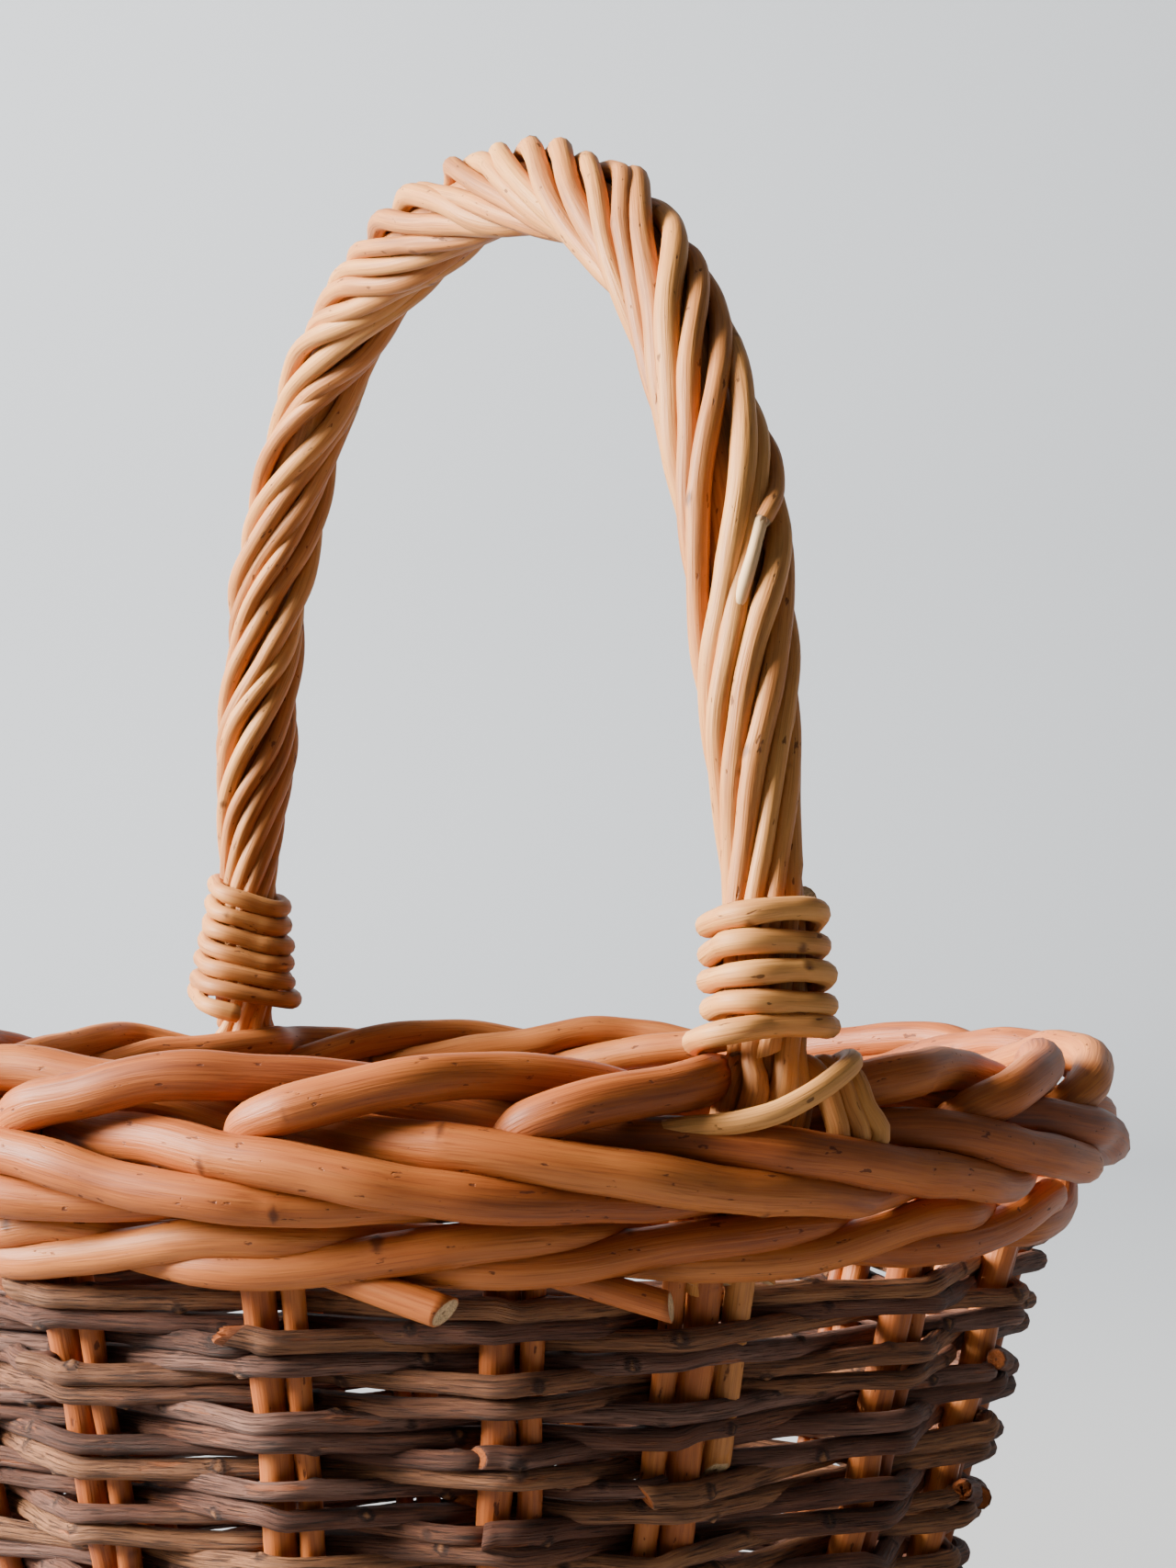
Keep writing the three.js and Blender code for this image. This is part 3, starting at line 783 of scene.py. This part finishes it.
def weave_wales(sizes):
    """The top wale of buffed rods and the foot wale of brown ones."""
    top = Rods()
    middle = (WALE_LOW + WALE_HIGH) / 2 + TOP_WALE_RAISE
    lift = (WALE_HIGH - WALE_LOW) / 4.6
    wale_rods(top, (20,), middle, sizes.wale / MM, lift, TOP_WALE_SWING, (0.2, 0.9))
    for n, (degrees, thick) in enumerate(WALE_BUTTS):
        place = math.radians(degrees)
        points = [
            around(place + run * SPACING, wall(middle) + out, middle - BUTT_DROP + up)
            for run, out, up in BUTT_COURSE
        ]
        top.rod(points, (thick, thick), (22, n), sides=14, bud_every=40, slant=(0, 24))
    top.piece("willow_top_wale", "buffed_willow", ["top_wale"])
    foot = Rods()
    middle = FOOT_WALE_HIGH / 2 + FOOT_WALE_RAISE
    wale_rods(foot, (21,), middle, FOOT_WALE_RADIUS, FOOT_WALE_HIGH / 4, FOOT_WALE_SWING, (0, 1))
    foot.piece("willow_foot_wale", "barked_willow", ["foot_wale"])


# ---- Handle ----
HANDLE_RISE = 231.0
# The bow's middle line, from a foot to the crown: (in from the border's centre, up)
BOW_HALF = (
    (0.5, 0), (1.2, 20), (3.5, 46), (6.5, 75), (11, 101), (18, 130), (30, 157), (48, 184), (70, 204.5),
    (96, 218.5), (129, 228),
)
BOW_THIN, BOW_THICKER = 4.2, 2.6  # the bow's radius at its feet, and how much it gains above them
# The thinned end of the bow, pushed down beside a stake: (out from the axis, up)
SPIKE = (
    (wall(125), 125), (wall(150), 150), (wall(WALE_LOW), WALE_LOW), (wall(WALE_HIGH), WALE_HIGH),
    (RIM_RADIUS - 4, 193), (RIM_RADIUS - 0.5, 207),
)
SPIKE_RADIUS = 3.3

ROPE_TURNS = 4.0
ROPE_STEPS = 110
ROPE_IN, ROPE_OUT = 6.6, 3.1  # from the bow's middle to a rope rod's at the feet, and how much more above
# The rope rods that carry on below each binding: (aside at the binding, lean below it, outwards)
RIGHT_FAN = {
    9: (-8.2, -4.0, -3.0),
    7: (-5.6, -5.5, 3.6),
    5: (0.4, -5.2, 5.6),
    4: (5.2, -4.0, 4.0),
    3: (8.2, -2.0, 0.0),
}
LEFT_FAN = {
    8: (-8.5, -4.5, -2.0),
    9: (-4.4, -2.5, -6.5),
    0: (0.5, 0.5, -7.0),
    1: (5.0, 3.0, -6.5),
    2: (9.0, 5.5, -2.0),
}
FAN_THICKER = 1.08
# A torn-off rod and the bare wood of its tear: (share of the way along the bow, degrees round it, out)
SHORT_ROD = (
    (0.186, 177, 12.3), (0.19, 169, 12.9), (0.1945, 158, 12.7), (0.2104, 128, 12.2), (0.228, 104, 11.2),
    (0.245, 83, 9.4), (0.262, 62, 7.5),
)
TORN_WOOD = (
    (0.157, 214, 10.6), (0.165, 204, 11.6), (0.174, 194, 12.1), (0.183, 183, 12.4), (0.189, 174, 12.0),
)


def make_bow_line():
    """The bow's middle line from foot to foot, how far along it each point is, and its length."""
    half = [(RIM_RADIUS - inwards, 0.0, RIM_HEIGHT + up) for inwards, up in BOW_HALF]
    points = [*half, (0.0, 0.0, RIM_HEIGHT + HANDLE_RISE), *[(-x, y, z) for x, y, z in reversed(half)]]
    line, run, _ = smooth_line(points, 2.0)
    return line, run / run[-1], run[-1]


BOW_LINE, BOW_SHARES, BOW_LENGTH = make_bow_line()
BOW_ALONG = np.gradient(BOW_LINE, axis=0)
BOW_ALONG /= np.linalg.norm(BOW_ALONG, axis=1)[:, None]


def beside_bow(share, radius, angle):
    """A point at that radius and angle round the bow, a share of the way along it."""
    at = np.array([np.interp(share, BOW_SHARES, BOW_LINE[:, k]) for k in range(3)])
    along = np.array([np.interp(share, BOW_SHARES, BOW_ALONG[:, k]) for k in range(3)])
    past = (share - min(1.0, max(0.0, share))) * BOW_LENGTH
    across = np.array([0.0, 1.0, 0.0])
    outwards = np.cross(along, across)
    return tuple(at + past * along + radius * (math.cos(angle) * outwards + math.sin(angle) * across))


def above_foot(share, low, high):
    """0 near the bow's feet, 1 beyond the higher of two distances from them, and smooth between."""
    return ease(min(share, 1 - share) * BOW_LENGTH, low, high)


def rope_twist(share):
    """Turns round the bow up to a place along it, a little closer together towards the left foot."""
    return -ROPE_TURNS * (0.75 * share + 0.25 * share**2)


def fan_points(side, aside, lean, out):
    """The lower end of a rope rod, from under its binding down through the border into the wall."""
    top = RIM_RADIUS + out
    return [
        (side * top, aside, 212.0),
        (side * (top - 1.5), aside + 0.4 * lean, 203.0),
        (side * (top - 5), aside + 0.8 * lean, 194.0),
        (side * (wall(185) - 0.5), aside + lean, 185.0),
        (side * (wall(168) - 1), aside + lean, 168.0),
    ]


def weave_bow():
    """The bow, from the tip of one spike to the tip of the other."""
    shares = np.linspace(0, 1, 40)
    points = [(x, 0, z) for x, z in SPIKE]
    points += [beside_bow(share, 0, 0) for share in shares]
    points += [(-x, 0, z) for x, z in reversed(SPIKE)]
    spike_radii = [SPIKE_RADIUS] * len(SPIKE)
    bow_radii = [BOW_THIN + BOW_THICKER * above_foot(share, 40, 95) for share in shares]
    bow = Rods()
    bow.rod(points, spike_radii + bow_radii + spike_radii, (30,), spacing=3.0, slant=(50, 50), tone=0.2)
    bow.piece("willow_handle_bow", "peeled_willow", ["handle_bow"])


def weave_rope_rod(k, rod_radius):
    """One rod twisted round the bow. Away from the feet it wanders a little from its even turns."""
    rng = chance(31, k)
    own_radius = rod_radius * rng.uniform(0.88, 1.12)
    shares = np.linspace(0.006, 0.994, ROPE_STEPS)
    swings = stray(shares * BOW_LENGTH, rng, 0.21, (90, 150, 260))
    lifts = stray(shares * BOW_LENGTH, rng, 1.2, (60, 110, 190))
    points, radii = [], []
    for share, swing, lift in zip(shares, swings, lifts):
        loose = above_foot(share, 45, 110)
        out = ROPE_IN + ROPE_OUT * above_foot(share, 40, 95) + lift * loose
        angle = 2 * math.pi * (k / ROPE_RODS + rope_twist(share)) + swing * loose
        points.append(beside_bow(share, out, angle))
        radii.append(own_radius * (0.86 + 0.14 * loose))
    if k in RIGHT_FAN:
        fan = fan_points(1, *RIGHT_FAN[k])
        points, radii = fan[::-1] + points, [FAN_THICKER * rod_radius] * len(fan) + radii
    if k in LEFT_FAN:
        fan = fan_points(-1, *LEFT_FAN[k])
        points, radii = points + fan, radii + [FAN_THICKER * rod_radius] * len(fan)
    rods = Rods()
    rods.rod(points, radii, (32, k), spacing=3.0, wobble=0.25, bud_every=75, bud_height=0.45, slant=(30, 30),
             lumps=0.04)
    replaced = [f"rope_rod_{k + 1}"] if k < CAD_ROPE_RODS else []
    rods.piece(f"willow_rope_rod_{k + 1:02d}", "peeled_willow", replaced)


def weave_splice(sizes):
    """The handle rod that was torn off short, and the bare wood where it tore."""
    for name, course, thick, finish, ends in (
        ("willow_rope_short_rod", SHORT_ROD, 0.86, "peeled_willow", ("torn", "cut")),
        ("willow_rope_torn_wood", TORN_WOOD, 0.6, "torn_wood", ("torn", "torn")),
    ):
        rods = Rods()
        points = [beside_bow(share, out, math.radians(degrees)) for share, degrees, out in course]
        radius = thick * sizes.rope_rod / MM
        rods.rod(
            points, (0.8 * radius, radius), (34, len(course)), spacing=1.6, wobble=0.2, ends=ends, lumps=0.08,
            tone=0.5,
        )
        rods.piece(name, finish, [])


# ---- Bindings ----
COIL_STEPS = 16  # points to a turn of a binding
# (side, turns, its start from the foot, pitch, radius at its lower and its upper end, angle of its start)
BINDINGS = {
    "right": (1, 4.9, 6.5, 6.35, 12.6, 12.0, 2.4),
    "left": (-1, 6.6, 9.0, 6.0, 16.4, 10.8, 0.5),
}
# The near binding's tail, from inside the border round the foot of the handle.
TAIL = (
    (156, -38, 199.5), (163, -31, 202), (169, -24, 203.8), (174.5, -16, 204.6), (178.5, -8, 206.6),
    (180, 0, 210.4), (178.5, 8, 214.4), (175, 14, 217), (170, 16.5, 217.4), (164, 15, 215),
)
TAIL_TIP = 1.9
LOOP_PLACES = (9.5, 14, 18)


def binding_line(side, turns, start, pitch, low_radius, high_radius, first_angle):
    """The winding line round a handle foot. Its first turn is loose, and every turn sags to the front."""
    steps = int(turns * COIL_STEPS)
    points = []
    for step in range(steps + 1):
        turn = step / COIL_STEPS
        share = (start + turn * pitch) / BOW_LENGTH
        angle = 2 * math.pi * turn + first_angle
        front = math.cos(angle + 0.5)
        loose = 1 - ease(turn, 0.2, 0.9)
        coil = low_radius + (high_radius - low_radius) * step / steps
        # The rods inside it are lumpy, so a turn isn't round.
        coil *= 1 + 0.075 * math.cos(4 * angle + 2.3) + 0.03 * math.sin(3 * angle + turn)
        coil += 5.6 * loose * max(0.0, math.cos(angle + 1.1))
        tilt = (-1.5 * front - 1.1 * max(0.0, front) ** 3 - 1.6 * loose * front) / BOW_LENGTH
        place = share + tilt if side > 0 else 1 - share - tilt
        points.append(beside_bow(place, coil, side * angle))
    return points


def tie_to_border(rods, radius):
    """The near binding's tail, and the loops that tie it over the border's rods."""
    rods.rod(TAIL, [TAIL_TIP] + [0.92 * radius] * (len(TAIL) - 1), (42, 0), wobble=0.2)
    for n, y in enumerate(LOOP_PLACES):
        loop = [
            (157, y - 2, 209), (160, y - 1.5, 214), (166, y - 1, 216), (170, y, 213), (172.5, y + 1, 207),
            (173.5, y + 2 + n, 201.5), (171.5, y + 2.4, 197), (167, y + 2.5, 196), (161, y + 2, 199),
        ]
        rods.rod(loop, [0.8 * radius] * 2 + [0.98 * radius] * 5 + [0.9 * radius] * 2, (43, n))


def weave_bindings(sizes):
    """The rod wound round each handle foot, tied to the border at the near one."""
    radius = sizes.binding / MM
    for foot, (name, windings) in enumerate(BINDINGS.items()):
        rods = Rods()
        rng = chance(40, foot)
        points = binding_line(*windings)
        radii = [radius * rng.uniform(0.95, 1.04) for _ in points]
        rods.rod(
            points, radii, (41, foot), wobble=0.4, bud_every=40, bud_height=0.5, slant=(25, 25), lumps=0.05
        )
        if name == "right":
            tie_to_border(rods, radius)
        cad = f"foot_binding_{name}"
        rods.piece(f"willow_{cad}", "peeled_willow", [cad])


# ---- Base ----
BASE_REACH = wall(FOOT_WALE_HIGH / 2) - 10.6  # from the axis to a stick's end, inside the foot wale
SPOKES = 16  # ends of the eight sticks
FAN_FROM, FAN_PART = (35, 0.14), (65, 0.55)  # how much of its fan a stick has made that far from the axis
# (how many, apart, radius, turned)
BASE_STICKS = {
    "base_split_stick": (4, 9.4, 4.2, 0.0),
    "base_through_stick": (4, 5.0, 2.25, math.pi / 2),
}
# (inner radius, outer radius, from round to round)
BASE_ROUNDS = {
    "base_tying_weave": (30.0, 57.0, 4.3),
    "base_outer_weave": (60.0, BASE_REACH + 1.0, 4.5),
}
ROUND_STEPS = 64  # points to a round
BASE_WEAVER_RADIUS = 2.15
OVER_GROUP, OVER_STICK = 6.6, 5.7  # from the sticks' middle to a weaver over four of them, and over one


def lay_sticks(name, count, apart, stick_radius, turn):
    """The sticks that lie one way, side by side in the middle and fanned out beyond it."""
    for index in range(count):
        place = index - (count - 1) / 2
        offset, fan = place * apart, place * 2 * math.pi / SPOKES
        end = (BASE_REACH * math.cos(fan), BASE_REACH * math.sin(fan))
        spread = [(x, offset + (end[1] - offset) * part) for x, part in (FAN_FROM, FAN_PART)]
        half = [(8, offset), (21, offset), *spread, end]
        flat = [(-x, y) for x, y in reversed(half)] + half
        cos, sin = math.cos(turn), math.sin(turn)
        points = [(x * cos - y * sin, x * sin + y * cos, BASE_MIDDLE) for x, y in flat]
        rods = Rods()
        rods.rod(points, (stick_radius, stick_radius * 0.95), (50, index, int(turn > 0)), spacing=3.0,
                 bud_every=45, wobble=0.2)
        cad = f"{name}_{index + 1}"
        rods.piece(f"willow_{cad}", "buffed_willow", [cad])


def weave_rounds(name, inner, outer, pitch):
    """Two rods that spiral out, one over where the other goes under.

    Over the cross they pass whole groups of sticks, and beyond it single ones.
    """
    rods = Rods()
    steps = int((outer - inner) / pitch * ROUND_STEPS)
    for strand in range(2):
        points = []
        for step in range(steps + 1):
            turn = 2 * math.pi * step / ROUND_STEPS
            radius = inner + (outer - inner) * step / steps
            opening = ease(radius, 34, 42)
            wide = math.cos(2 * turn + math.pi * strand)
            fine = math.cos(SPOKES / 2 * (turn - math.pi / SPOKES) + math.pi * strand)
            up = OVER_GROUP * (wide * (1 - opening)) + OVER_STICK * fine * opening
            points.append((radius * math.cos(turn), radius * math.sin(turn), BASE_MIDDLE + up))
        rods.rod(
            points, (BASE_WEAVER_RADIUS, BASE_WEAVER_RADIUS), (52, strand, int(inner)), sides=8, spacing=4.0,
            wobble=0.3, bud_every=50, bud_height=0.3,
        )
    rods.piece(f"willow_{name}", "barked_willow", [name])


# ---- Stage, in metres ----
FLOOR_RADIUS, COVE_RADIUS, WALL_RISE = 2.6, 0.9, 2.2
COVE_STEPS = 8
# (place, where it looks, width, watts, colour, spread of its beam in degrees)
LIGHTS = {
    "window": ((-0.62, -1.95, 1.2), (0, 0, 0.4), 1.3, 47, (1.0, 0.955, 0.89), 48),
    "wall_wash_left": ((-0.6, -1.0, 2.6), (-3.4, 0.6, 0.9), 1.4, 245, (0.99, 0.995, 1.0), 130),
    "wall_wash_right": ((-0.2, 1.0, 2.6), (-2.6, 2.6, 0.8), 1.4, 35, (0.99, 0.995, 1.0), 130),
}
SKY_COLOUR, SKY_STRENGTH = (0.93, 0.96, 1.0, 1), 0.15
CAMERA_PLACE = (0.6819, -0.3144, 0.240)
CAMERA_HEADING = (-0.8870, 0.4617)
CAMERA_TILT = math.radians(3.58)
LENS, FILM_HEIGHT = 63.2689, 36  # in millimetres


def make_ground():
    """A round pale floor whose edge sweeps up into a wall, open at the top."""
    bpy.ops.object.select_all(action="DESELECT")
    bpy.ops.mesh.primitive_circle_add(vertices=96, radius=FLOOR_RADIUS, fill_type="NGON", location=(0, 0, 0))
    ground = bpy.context.object
    ground.name = "ground"
    bpy.ops.object.mode_set(mode="EDIT")
    bpy.ops.mesh.select_all(action="SELECT")
    bpy.ops.mesh.select_mode(type="EDGE")
    bpy.ops.mesh.select_all(action="DESELECT")
    bpy.ops.mesh.select_non_manifold()
    for step in range(COVE_STEPS):
        low, high = (math.pi / 2 / COVE_STEPS * n for n in (step, step + 1))
        lift = COVE_RADIUS * (math.cos(low) - math.cos(high))
        wider = (FLOOR_RADIUS + COVE_RADIUS * math.sin(high)) / (FLOOR_RADIUS + COVE_RADIUS * math.sin(low))
        bpy.ops.mesh.extrude_edges_move(TRANSFORM_OT_translate={"value": (0, 0, lift)})
        bpy.ops.transform.resize(value=(wider, wider, 1), center_override=(0, 0, 0))
    bpy.ops.mesh.extrude_edges_move(TRANSFORM_OT_translate={"value": (0, 0, WALL_RISE)})
    bpy.ops.mesh.select_all(action="SELECT")
    bpy.ops.mesh.normals_make_consistent(inside=True)
    bpy.ops.object.mode_set(mode="OBJECT")
    bpy.ops.object.shade_smooth_by_angle(angle=math.radians(40))
    ground.data.materials.append(bpy.data.materials["ground_paint"])


def add_light(name, place, target, width, power, colour, spread):
    """A soft square light that looks at a point."""
    lamp = bpy.data.lights.new(name, "AREA")
    lamp.shape, lamp.size, lamp.energy, lamp.color = "SQUARE", width, power, colour
    lamp.spread = math.radians(spread)
    holder = bpy.data.objects.new(name, lamp)
    bpy.context.scene.collection.objects.link(holder)
    holder.location = place
    holder.rotation_euler = (Vector(target) - Vector(place)).to_track_quat("-Z", "Y").to_euler()


def make_camera():
    """The camera, a little above the border and tilted up."""
    lens = bpy.data.cameras.new("camera")
    lens.sensor_fit, lens.sensor_height, lens.lens = "VERTICAL", FILM_HEIGHT, LENS
    camera = bpy.data.objects.new("camera", lens)
    bpy.context.scene.collection.objects.link(camera)
    camera.location = CAMERA_PLACE
    x, y = (part * math.cos(CAMERA_TILT) for part in CAMERA_HEADING)
    facing = Vector((x, y, math.sin(CAMERA_TILT)))
    camera.rotation_euler = facing.to_track_quat("-Z", "Y").to_euler()
    bpy.context.scene.camera = camera


def light_sky():
    """An even pale sky above the open wall."""
    world = bpy.data.worlds.new("sky")
    bpy.context.scene.world = world
    world.use_nodes = True
    sky = world.node_tree.nodes["Background"]
    sky.inputs["Color"].default_value = SKY_COLOUR
    sky.inputs["Strength"].default_value = SKY_STRENGTH


# ---- Operators ----
class BASKET_OT_stage(bpy.types.Operator):
    """Make the finishes, the floor, the lights and the camera"""

    bl_idname = "basket.stage"
    bl_label = "Stage and finishes"

    def execute(self, context):
        mix_finishes(context.scene.basket_colours)
        make_ground()
        light_sky()
        for name, light in LIGHTS.items():
            add_light(name, *light)
        make_camera()
        return {"FINISHED"}


class BASKET_OT_stakes(bpy.types.Operator):
    """Weave the stakes and the border that they carry on as"""

    bl_idname = "basket.stakes"
    bl_label = "Stakes and border"

    def execute(self, context):
        weave_stakes(context.scene.basket_sizes)
        return {"FINISHED"}


class BASKET_OT_rows(bpy.types.Operator):
    """Weave the brown rows of the wall"""

    bl_idname = "basket.rows"
    bl_label = "Rows of the wall"

    def execute(self, context):
        weave_rows(context.scene.basket_sizes)
        return {"FINISHED"}


class BASKET_OT_wales(bpy.types.Operator):
    """Weave the top wale and the foot wale"""

    bl_idname = "basket.wales"
    bl_label = "Wales"

    def execute(self, context):
        weave_wales(context.scene.basket_sizes)
        return {"FINISHED"}


class BASKET_OT_handle(bpy.types.Operator):
    """Twist the handle's rods round its bow"""

    bl_idname = "basket.handle"
    bl_label = "Handle"

    def execute(self, context):
        sizes = context.scene.basket_sizes
        weave_bow()
        for k in range(ROPE_RODS):
            weave_rope_rod(k, sizes.rope_rod / MM)
        weave_splice(sizes)
        return {"FINISHED"}


class BASKET_OT_bindings(bpy.types.Operator):
    """Wind the bindings round the handle's feet"""

    bl_idname = "basket.bindings"
    bl_label = "Foot bindings"

    def execute(self, context):
        weave_bindings(context.scene.basket_sizes)
        return {"FINISHED"}


class BASKET_OT_base(bpy.types.Operator):
    """Weave the round base on its sticks"""

    bl_idname = "basket.base"
    bl_label = "Base"

    def execute(self, context):
        for name, sticks in BASE_STICKS.items():
            lay_sticks(name, *sticks)
        for name, rounds in BASE_ROUNDS.items():
            weave_rounds(name, *rounds)
        return {"FINISHED"}


STEPS = (
    BASKET_OT_stage,
    BASKET_OT_stakes,
    BASKET_OT_rows,
    BASKET_OT_wales,
    BASKET_OT_handle,
    BASKET_OT_bindings,
    BASKET_OT_base,
)


class BASKET_PT_sidebar(bpy.types.Panel):
    """The basket's steps, sizes and colours"""

    bl_idname = "BASKET_PT_sidebar"
    bl_label = "Willow Basket"
    bl_space_type = "VIEW_3D"
    bl_region_type = "UI"
    bl_category = "Basket"

    def draw(self, context):
        for step in STEPS:
            self.layout.operator(step.bl_idname)
        for group in (context.scene.basket_sizes, context.scene.basket_colours):
            for name in group.__annotations__:
                self.layout.prop(group, name)


def register():
    for kind in (BasketSizes, BasketColours, *STEPS, BASKET_PT_sidebar):
        bpy.utils.register_class(kind)
    bpy.types.Scene.basket_sizes = bpy.props.PointerProperty(type=BasketSizes)
    bpy.types.Scene.basket_colours = bpy.props.PointerProperty(type=BasketColours)


def unregister():
    del bpy.types.Scene.basket_sizes
    del bpy.types.Scene.basket_colours
    for kind in reversed((BasketSizes, BasketColours, *STEPS, BASKET_PT_sidebar)):
        bpy.utils.unregister_class(kind)


def main():
    register()
    bpy.ops.basket.stage()
    bpy.ops.basket.stakes()
    bpy.ops.basket.rows()
    bpy.ops.basket.wales()
    bpy.ops.basket.handle()
    bpy.ops.basket.bindings()
    bpy.ops.basket.base()
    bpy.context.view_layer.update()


if __name__ == "__main__":
    main()
